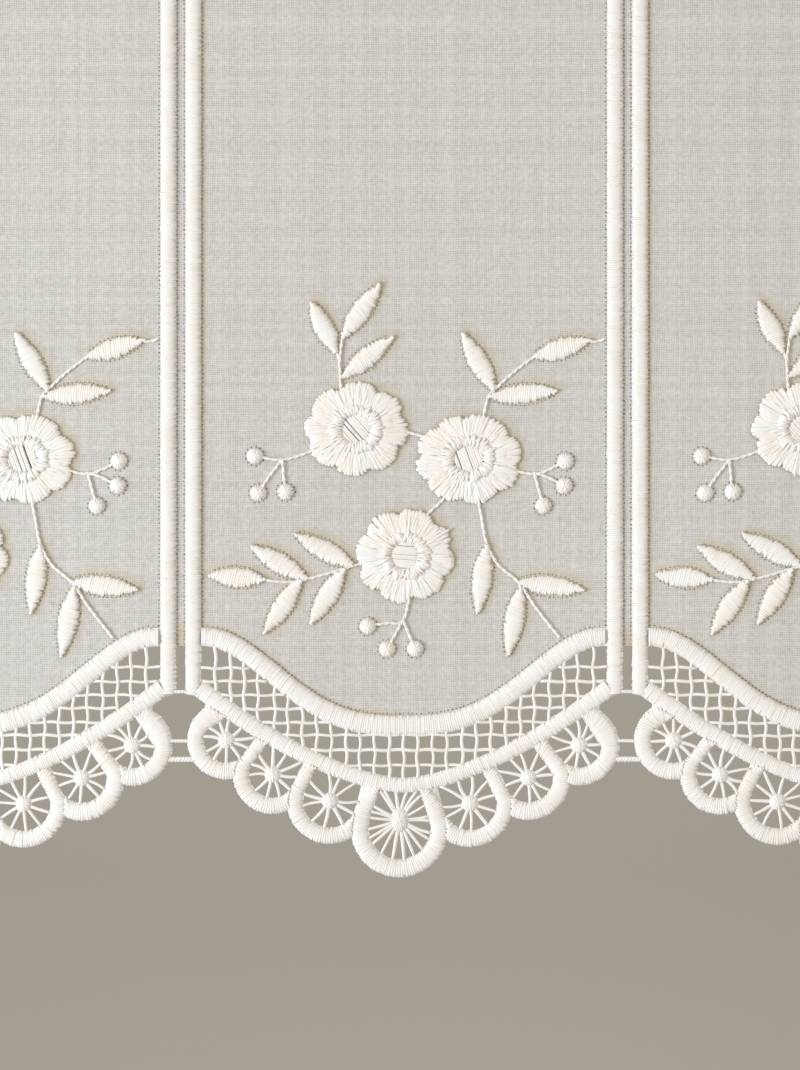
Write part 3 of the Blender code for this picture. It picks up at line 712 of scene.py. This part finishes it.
def leaf_threads(work, base, tip):
    """Slanting satin stitches across a leaf, over a padded shape."""
    base, tip = np.array(base), np.array(tip)
    length = np.linalg.norm(tip - base)
    along = (tip - base) / length
    across = np.array([-along[1], along[0]])
    run, wide = np.array(LEAF_SHAPE).T
    shares = np.arange(0.4, length, LEAF_PITCH) / length
    half = np.interp(shares, run, wide) * LEAF_HALF_WIDTH
    slant = 0.16 * half[:, None] * along
    middle = base + (tip - base) * shares[:, None]
    satin(
        work,
        middle - across * half[:, None] - slant,
        middle + across * half[:, None] + slant,
        height=1.0,
        width=1.14,
        ragged=0.22,
    )
    edge = np.linspace(0.02, 0.97, 12)
    reach = np.interp(edge, run, wide)[:, None] * LEAF_HALF_WIDTH * 0.72
    spine = base + (tip - base) * edge[:, None]
    loop = np.concatenate([spine - across * reach, (spine + across * reach)[::-1]])
    plate(work, [[tuple(place) for place in loop]], 0.4, 0.0)


def stem_threads(work, run):
    """Two thin strands that twist round each other."""
    path = resampled([run], 0.7)[0]
    along = np.gradient(path, axis=0)
    along /= np.linalg.norm(along, axis=1, keepdims=True)
    across = np.stack([-along[:, 1], along[:, 0]], 1)
    step = np.arange(len(path)) * 0.7
    for turn in (0.0, math.pi):
        phase = step * 2 * np.pi / 5.2 + turn + work.random.normal(0, 0.15)
        flat = path + across * (0.26 * np.sin(phase))[:, None]
        out = 0.4 + 0.2 * np.cos(phase)
        thread(work, np.column_stack([flat, out])[None], 0.7, 0.6, round_section=True)


def spray(seed):
    """The roses, leaves, berries and stems of one repeat."""
    work = Work(seed)
    for run in STEMS:
        stem_threads(work, run)
    for base, tip in LEAVES:
        leaf_threads(work, base, tip)
    for x, z in BERRIES:
        knot(work, x, z, BERRY_RADIUS, 1.4, 22)
    for rose in ROSES:
        rose_threads(work, rose)
    return work


def hole_places():
    """Where needles pierced the cloth: along rails and bands, and round leaves and berries."""
    places = []
    for side in (-1, 1):
        inner, outer = RAIL_INNER - HOLE_GAP, RAIL_OUTER + HOLE_GAP
        for x, foot in ((inner, upper_edge(RAIL_INNER, 1)), (outer, SLOT_TOP)):
            places += [(side * x, z) for z in np.arange(foot + 0.8, POCKET_FOOT - 1, HOLE_PITCH)]
    _, above = rows_along(upper_line, UPPER_BAND, (-RAIL_INNER, RAIL_INNER), HOLE_PITCH)
    places += [(x, z + HOLE_GAP + 0.12) for x, z in above]
    run, wide = np.array(LEAF_SHAPE).T
    for base, tip in LEAVES:
        base, tip = np.array(base), np.array(tip)
        length = np.linalg.norm(tip - base)
        across = np.array([base[1] - tip[1], tip[0] - base[0]]) / length
        for share in np.arange(1.5, length - 1, HOLE_PITCH) / length:
            half = np.interp(share, run, wide) * LEAF_HALF_WIDTH + 0.75
            places += [tuple(base + (tip - base) * share + across * half * side) for side in (-1, 1)]
    for x, z in BERRIES:
        places += [
            (x + (BERRY_RADIUS + 0.6) * math.cos(turn), z + (BERRY_RADIUS + 0.6) * math.sin(turn))
            for turn in np.arange(13) * 2 * math.pi / 13
        ]
    return np.array(places)


def needle_hole_shade():
    """A small dark plug for each needle hole, seated in the cloth: painted shade that stands for the
    shadow seen through the hole.
    """
    work = Work(60)
    turns = np.arange(6) * np.pi / 3
    for centre in CENTRES:
        places = hole_places() + (centre, 0)
        places = places + work.random.normal(0, 0.07, places.shape)
        radii = HOLE_RADIUS * work.random.uniform(0.75, 1.15, (len(places), 1))
        x = places[:, :1] + radii * np.cos(turns)
        z = places[:, 1:] + radii * np.sin(turns)
        front = np.stack([x, z, np.full_like(x, HOLE_FRONT)], -1)
        back = np.stack([x, z, np.full_like(x, HOLE_BACK)], -1)
        points = np.concatenate([front, back], 1).reshape(-1, 3)
        one = [[0, 1, 2, 3], [0, 3, 4, 5], [9, 8, 7, 6], [11, 10, 9, 6]]
        one += [[6 + turn, 6 + (turn + 1) % 6, (turn + 1) % 6, turn] for turn in range(6)]
        first = (np.arange(len(places)) * 12)[:, None, None]
        work.add(points, (first + np.array(one)).reshape(-1, 4), 0.5)
    return work


def cloth_foot(x):
    """The lower edge of the cloth: behind the middle of the upper band."""
    nearest = min(CENTRES, key=lambda centre: abs(x - centre))
    off = abs(x - nearest)
    if off > RAIL_INNER + 1:
        return SLOT_TOP
    return upper_line(min(off, BAND_REACH))


def shade(x, z):
    """How much raised stitches shade the cloth at one x and many z: 0 none, 1 full."""
    x = x - min(CENTRES, key=lambda centre: abs(x - centre))
    aside, above = x - SHADE_ASIDE[0], z - SHADE_ASIDE[1]
    band = upper_edge(min(max(x, -BAND_REACH), BAND_REACH), 1)
    gaps = [z - band + (0.0 if x < 0 else SHADE_LOST)]
    gaps.append(np.full(len(z), abs(x + SHADE_RAIL)))
    for rose in ROSES:
        far = np.hypot((aside - rose["x"]) / rose["wide"], (above - rose["z"]) / rose["high"]) * 2
        gaps.append((far - SHADE_ROSE) * rose["wide"] / 2)
    run, wide = np.array(LEAF_SHAPE).T
    for base, tip in LEAVES:
        way = np.subtract(tip, base)
        length = np.hypot(*way)
        along = ((aside - base[0]) * way[0] + (above - base[1]) * way[1]) / length
        across = np.abs((aside - base[0]) * way[1] - (above - base[1]) * way[0]) / length
        half = np.interp(along / length, run, wide) * LEAF_HALF_WIDTH
        past = np.abs(along - length / 2) - length / 2
        gaps.append(np.hypot(np.maximum(0, across - half), np.maximum(0, past)))
    return np.clip(1 - np.min(gaps, axis=0) / SHADE_REACH, 0, 1)


def pocket_rows():
    """(depth behind the cloth's front, height from the top) round the pocket, from its seam."""
    half = POCKET_DEPTH / 2 - 0.4
    top = -POCKET_DEPTH / 2
    foot = -(POCKET_HEIGHT - POCKET_SEAM)
    rows = []
    for share in np.linspace(1, 0, 9):
        swell = 0.3 + (half - 0.3) * math.cos(share * math.pi / 2)
        rows.append((0.5 - swell, top + (foot - top) * share))
    for turn in np.linspace(180, 0, 13)[1:]:
        rows.append((0.5 + half * math.cos(math.radians(turn)), top + half * math.sin(math.radians(turn))))
    for share in np.linspace(0, 1, 9)[1:]:
        swell = 0.3 + (half - 0.3) * math.cos(share * math.pi / 2)
        rows.append((0.5 + swell, top + (foot - top) * share))
    rows.append((0.75, -POCKET_HEIGHT))
    return rows


def sheet_columns():
    """(x, extra depth) across the cloth, with each side turned back into its hem."""
    inner, outer = HALF_WIDTH - SIDE_HEM + 0.3, HALF_WIDTH - 0.3
    middle = [(x, 0.0) for x in spaced(-HALF_WIDTH + 0.2, HALF_WIDTH - 0.2, SHEET_STEP)]
    return [(-inner, 0.4), (-outer, 0.45)] + middle + [(outer, 0.45), (inner, 0.4)]


def voile(material):
    """The cloth: up from its foot, round the pocket and down to the seam behind."""
    columns = sheet_columns()
    random = np.random.default_rng(5)
    rows = np.array(pocket_rows())
    share = np.linspace(0, 1, SHEET_ROWS)
    top = POCKET_FOOT + 1.0
    points, flat, shades = [], [], []
    across = 0.0
    phases = random.uniform(0, 6.28, 4)
    for index, (x, depth) in enumerate(columns):
        if index:
            across += abs(x - columns[index - 1][0])
        foot = cloth_foot(x)
        heights = foot + (top - foot) * share
        z = heights - HEIGHT
        y = wave(x, z) + SHEET_DEPTH + depth
        up = heights - WEAVE_START
        column = np.stack([np.full(len(z), x), y, z], 1)
        column_flat = np.stack([np.full(len(z), across), up], 1)
        crease = 0.35 * np.sin(x / 9.0 + phases[0]) + 0.3 * np.sin(x / 23.0 + phases[1])
        softness = np.clip(1 - abs(rows[:, 1] + 12) / 14, 0, 1)
        depths = rows[:, 0] + depth * 0.3 + crease * softness
        over = np.stack([np.full(len(rows), x), depths, rows[:, 1]], 1)
        steps = np.diff(np.concatenate([column[-1:], over]), axis=0)
        run = np.cumsum(np.linalg.norm(steps, axis=1))
        over_flat = np.stack([np.full(len(rows), across), up[-1] + run], 1)
        points.append(np.concatenate([column, over]))
        flat.append(np.concatenate([column_flat, over_flat]))
        shades.append(np.concatenate([shade(x, heights), np.zeros(len(rows))]))
    grid = np.arange(len(columns) * len(points[0])).reshape(len(columns), -1)
    faces = np.stack([grid[:-1, :-1], grid[1:, :-1], grid[1:, 1:], grid[:-1, 1:]], -1).reshape(-1, 4)
    mesh = bpy.data.meshes.new("voile_sheet")
    mesh.from_pydata((np.concatenate(points) * MM).tolist(), [], faces.tolist())
    mesh.polygons.foreach_set("use_smooth", [True] * len(mesh.polygons))
    drawn = mesh.attributes.new("flat", "FLOAT_VECTOR", "POINT")
    places = np.concatenate(flat)
    values = np.column_stack([places, np.zeros(len(places))]).astype(np.float32)
    drawn.data.foreach_set("vector", values.ravel())
    shaded = mesh.attributes.new("shade", "FLOAT", "POINT")
    shaded.data.foreach_set("value", np.concatenate(shades).astype(np.float32))
    mesh.materials.append(material)
    made = bpy.data.objects.new("voile_sheet", mesh)
    bpy.context.scene.collection.objects.link(made)
    return made


def seam_threads():
    """Running stitches along the pocket's seam and both side hems."""
    work = Work(9)
    run = np.linspace(0, RUN_LENGTH, 4)
    out = np.array([-0.1, 0.22, 0.22, -0.1])
    seam = np.full(4, POCKET_FOOT + 2.6)
    for x in np.arange(-HALF_WIDTH + 2, HALF_WIDTH - 3, RUN_PITCH):
        thread(work, np.stack([x + run, seam, out - 0.1], 1)[None], RUN_WIDTH, 0.3)
    for side in (-1, 1):
        hem = np.full(4, side * (HALF_WIDTH - SIDE_HEM + 0.8))
        for z in np.arange(SLOT_TOP + 2, POCKET_FOOT, RUN_PITCH):
            thread(work, np.stack([hem, z + run, out - 0.15], 1)[None], RUN_WIDTH, 0.3)
    return work


class Look:
    """A Principled material and the nodes that drive it."""

    def __init__(self, name, roughness, **values):
        self.material = bpy.data.materials.new(name)
        self.material.use_nodes = True
        self.tree = self.material.node_tree
        self.shader = self.tree.nodes["Principled BSDF"]
        self.shader.inputs["Roughness"].default_value = roughness
        for key, value in values.items():
            self.shader.inputs[key.replace("_", " ")].default_value = value

    def node(self, kind, inputs=(), **settings):
        made = self.tree.nodes.new(kind)
        for key, value in settings.items():
            setattr(made, key, value)
        for index, value in inputs.items() if isinstance(inputs, dict) else enumerate(inputs):
            if isinstance(value, bpy.types.NodeSocket):
                self.tree.links.new(value, made.inputs[index])
            else:
                made.inputs[index].default_value = value
        return made

    def math(self, operation, *values):
        return self.node("ShaderNodeMath", values, operation=operation).outputs[0]

    def noise(self, vector, scale, detail=2.0, roughness=0.5):
        inputs = {"Vector": vector, "Scale": scale, "Detail": detail, "Roughness": roughness}
        return self.node("ShaderNodeTexNoise", inputs).outputs["Fac"]

    def ramp(self, value, low, high, start=0.0, end=1.0):
        inputs = {0: value, 1: low, 2: high, 3: start, 4: end}
        return self.node("ShaderNodeMapRange", inputs, clamp=True).outputs[0]

    def mix(self, share, first, second, blend="MIX"):
        inputs = {0: share, 6: first, 7: second}
        return self.node("ShaderNodeMix", inputs, data_type="RGBA", blend_type=blend).outputs[2]

    def vector(self, x, y, z=0.0):
        return self.node("ShaderNodeCombineXYZ", (x, y, z)).outputs[0]

    def drive(self, name, value):
        self.tree.links.new(value, self.shader.inputs[name])


def thread_look(name, pale, warm, roughness):
    """Mercerised cotton: ivory, a little warmer in places and from strand to strand."""
    look = Look(name, roughness, Sheen_Weight=0.25, Sheen_Roughness=0.4)
    place = look.node("ShaderNodeTexCoord").outputs["Object"]
    tone = look.node("ShaderNodeAttribute", attribute_name="tone").outputs["Fac"]
    patch = look.noise(place, 105.0, 2.0)
    share = look.math("ADD", look.ramp(patch, 0.42, 0.68), look.math("MULTIPLY", tone, 0.24))
    share = look.math("SUBTRACT", share, 0.12)
    colour = look.mix(look.ramp(share, 0.0, 1.0), (*pale, 1.0), (*warm, 1.0))
    look.drive("Base Color", colour)
    fibre = look.noise(place, 2600.0, 3.0, 0.6)
    bump = look.node("ShaderNodeBump", {"Strength": 0.35, "Distance": 0.00012, "Height": fibre})
    look.drive("Normal", bump.outputs[0])
    return look.material


def voile_look():
    """Plain weave with slubs: yarns both ways, painted shade in the gaps and a little light between them,
    and painted shade beside raised stitches.
    """
    look = Look("voile", 0.85, Sheen_Weight=0.1)
    flat = look.node("ShaderNodeAttribute", attribute_name="flat").outputs["Vector"]
    parts = look.node("ShaderNodeSeparateXYZ", (flat,)).outputs
    open_shares, tones = [], []
    for index, pitch in ((0, 0.86), (1, 0.84)):
        here, other = parts[index], parts[1 - index]
        drift = look.noise(look.vector(parts[0], parts[1], 3.0 * index), 0.05, 3.0)
        drift = look.math("MULTIPLY", drift, 2.2)
        count = look.math("ADD", look.math("DIVIDE", here, pitch), drift)
        number = look.math("FLOOR", count)
        off = look.math("ABSOLUTE", look.math("SUBTRACT", look.math("FRACT", count), 0.5))
        along = look.math("MULTIPLY", other, SLUB_SCALE)
        lengthwise = look.vector(look.math("MULTIPLY", number, 7.31), along)
        slub = look.ramp(look.noise(lengthwise, 1.0, 2.0, 0.6), 0.34, 0.66)
        own = look.node("ShaderNodeTexWhiteNoise", {"W": number}, noise_dimensions="1D").outputs["Value"]
        half = look.ramp(slub, 0.0, 1.0, 0.24, 0.44)
        half = look.math("ADD", half, look.math("MULTIPLY", own, 0.06))
        edge = look.math("SUBTRACT", off, half)
        open_shares.append(look.ramp(edge, -0.05, 0.05))
        tones.append(look.math("MULTIPLY", look.math("ADD", own, slub), 0.5))
    tone = look.math("MULTIPLY", look.math("ADD", *tones), 0.5)
    gap_shade_and_see_through = look.math("MAXIMUM", *open_shares)
    yarn = look.mix(tone, VOILE_DULL, VOILE_PALE)
    # Painted shade: the base colour darkens in the gaps between yarns, where the crossing yarn lies
    # deeper.
    colour = look.mix(look.math("MULTIPLY", gap_shade_and_see_through, 0.22), yarn, VOILE_GAP_SHADE)
    shaded = look.node("ShaderNodeAttribute", attribute_name="shade").outputs["Fac"]
    look.drive("Base Color", look.mix(shaded, colour, SHADE_TINT, "MULTIPLY"))
    through = look.math("MULTIPLY", look.math("MULTIPLY", *open_shares), 0.8)
    through = look.math("ADD", through, look.math("MULTIPLY", gap_shade_and_see_through, 0.12))
    look.drive("Alpha", look.ramp(through, 0.0, 1.0, 0.9, 0.3))
    return look.material


def plain_look(name, colour, roughness=0.9):
    look = Look(name, roughness)
    look.shader.inputs["Base Color"].default_value = (*colour, 1.0)
    return look.material


def backdrop():
    """A pale floor that runs up into a wall behind, well away from the curtain."""
    profile = [(-4.0, -1.4), (2.2, -1.4)]
    for turn in np.linspace(0.1, math.pi / 2, 12):
        profile.append((2.2 + 0.6 * math.sin(turn), -0.8 - 0.6 * math.cos(turn)))
    profile.append((2.8, 2.6))
    points = [(x, y, z) for y, z in profile for x in (-4.0, 4.0)]
    faces = [(2 * i, 2 * i + 1, 2 * i + 3, 2 * i + 2) for i in range(len(profile) - 1)]
    mesh = bpy.data.meshes.new("backdrop")
    mesh.from_pydata(points, [], faces)
    mesh.polygons.foreach_set("use_smooth", [True] * len(faces))
    mesh.materials.append(plain_look("backdrop", (0.46, 0.44, 0.405)))
    made = bpy.data.objects.new("backdrop", mesh)
    bpy.context.scene.collection.objects.link(made)


def lamp(name, place, aim, size, power, colour):
    light = bpy.data.lights.new(name, "AREA")
    light.shape = "DISK"
    light.size = size
    light.energy = power
    light.color = colour
    made = bpy.data.objects.new(name, light)
    made.location = place
    made.rotation_euler = (Vector(aim) - Vector(place)).to_track_quat("-Z", "Y").to_euler()
    bpy.context.scene.collection.objects.link(made)


def light_and_camera():
    scene = bpy.context.scene
    scene.view_settings.view_transform = "Standard"
    world = bpy.data.worlds.new("studio")
    world.use_nodes = True
    shade = world.node_tree.nodes["Background"].inputs
    shade["Color"].default_value = (1.0, 0.925, 0.80, 1.0)
    shade["Strength"].default_value = 0.68
    scene.world = world
    lamp("key", (-1.75, -1.2, -0.65), (0.0, 0.0, -0.28), 0.9, 37.0, (0.87, 0.935, 1.0))
    lamp("fill", (1.2, -1.8, 0.9), (0.0, 0.0, -0.3), 1.6, 6.0, (0.97, 0.985, 1.0))
    lamp("back", (1.7, 1.5, 0.5), (0.0, 0.0, -0.25), 0.9, 24.0, (0.92, 0.96, 1.0))
    camera = bpy.data.cameras.new("camera")
    distance = 1.0
    camera.sensor_width = 36.0
    camera.lens = 36.0 * distance / 0.3892
    camera.clip_start = 0.05
    made = bpy.data.objects.new("camera", camera)
    made.location = (-0.0015, -distance, -0.3254)
    made.rotation_euler = (math.radians(90), 0.0, 0.0)
    scene.collection.objects.link(made)
    scene.camera = made


def main():
    for thing in list(bpy.data.objects):
        bpy.data.objects.remove(thing, do_unlink=True)
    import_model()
    satin_thread = thread_look("satin_thread", (0.88, 0.875, 0.872), (0.86, 0.825, 0.78), 0.5)
    rose_thread = thread_look("rose_thread", (0.90, 0.895, 0.892), (0.90, 0.84, 0.785), 0.45)
    cloth = voile(voile_look())
    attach(cloth, "root")
    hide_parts("voile_panel", "rod_pocket")
    seams = seam_threads().object("seam_stitching", 0.0, satin_thread)
    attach(seams, "root")
    made = []
    for index, centre in enumerate(CENTRES):
        number = index + 1
        border = lace(20 + index, index < REPEATS - 1).object(f"lace_{number}", centre, satin_thread)
        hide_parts(f"lace_border_{number}")
        roses = spray(40 + index).object(f"spray_{number}", centre, rose_thread)
        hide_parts(f"rose_spray_{number}")
        made += [border, roses]
    for piece in made:
        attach(piece, "root")
    # The dark plug colour is painted shade for the needle holes, not a colour of the cloth.
    pierced = plain_look("painted_hole_shade", (0.24, 0.21, 0.165))
    holes = needle_hole_shade().object("needle_hole_shade", 0.0, pierced)
    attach(holes, "root")
    backdrop()
    light_and_camera()


main()
